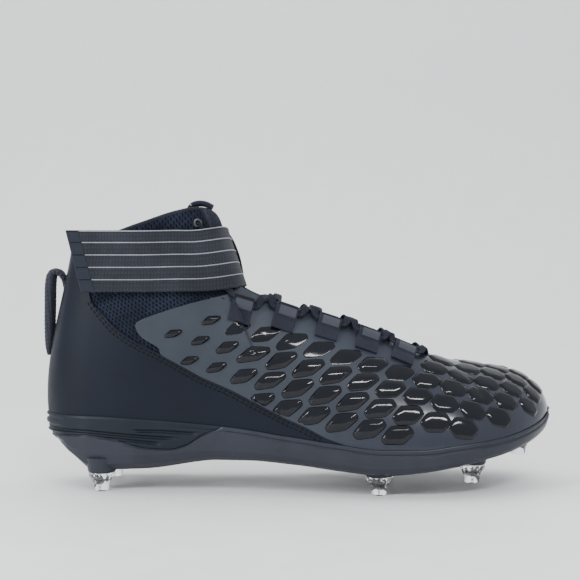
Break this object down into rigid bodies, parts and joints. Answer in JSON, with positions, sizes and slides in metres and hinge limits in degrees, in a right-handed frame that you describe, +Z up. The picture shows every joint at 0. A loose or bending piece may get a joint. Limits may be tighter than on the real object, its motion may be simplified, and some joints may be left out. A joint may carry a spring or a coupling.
{
  "type": "american football cleat",
  "caption": "High-cut football cleat with a knitted sock upper, moulded forefoot skin, laced throat, elastic ankle strap and a plate sole with clear screw-in studs.",
  "frame": {"origin": "on the floor plane, below the middle of the shoe's overall length and width", "axes": "+X from the heel to the toe, +Y to the inner (medial) side, +Z up from the floor"},
  "size_m": [0.317, 0.1076, 0.1754],
  "materials": {
    "knit": "dark knitted mesh with a fine diagonal weave",
    "counter_film": "smooth satin film over the heel and quarter",
    "moulded_skin": "matte moulded film with glossy black domes in hexagonal windows",
    "insole_cloth": "brushed cloth",
    "midsole_foam": "satin foam with moulded ribs",
    "plate": "satin moulded plate",
    "clear_stud": "clear polished plastic",
    "strap_elastic": "ribbed elastic with silver lines",
    "braid": "padded braided cord cover",
    "webbing": "flat woven webbing",
    "lace": "flat woven lace",
    "eyelet": "dark painted ring"
  },
  "bodies": {
    "root": {"upper": "knit", "heel_counter": "counter_film", "forefoot_skin": "moulded_skin", "tongue": "knit", "insole": "insole_cloth", "midsole": "midsole_foam", "outsole": "plate", "stud_heel_lateral": "clear_stud", "stud_heel_medial": "clear_stud", "stud_ball_lateral": "clear_stud", "stud_ball_medial": "clear_stud", "stud_front_lateral": "clear_stud", "stud_front_medial": "clear_stud", "stud_toe": "clear_stud", "ankle_strap": "strap_elastic", "heel_loop": "braid", "tongue_loop": "webbing", "lace_loop_lateral_1": "webbing", "lace_loop_medial_1": "webbing", "lace_loop_lateral_2": "webbing", "lace_loop_medial_2": "webbing", "lace_loop_lateral_3": "webbing", "lace_loop_medial_3": "webbing", "lace_loop_lateral_4": "webbing", "lace_loop_medial_4": "webbing", "lace_loop_lateral_5": "webbing", "lace_loop_medial_5": "webbing", "laces": "lace", "top_eyelet_lateral": "eyelet", "top_eyelet_medial": "eyelet"}
  },
  "joints": []
}
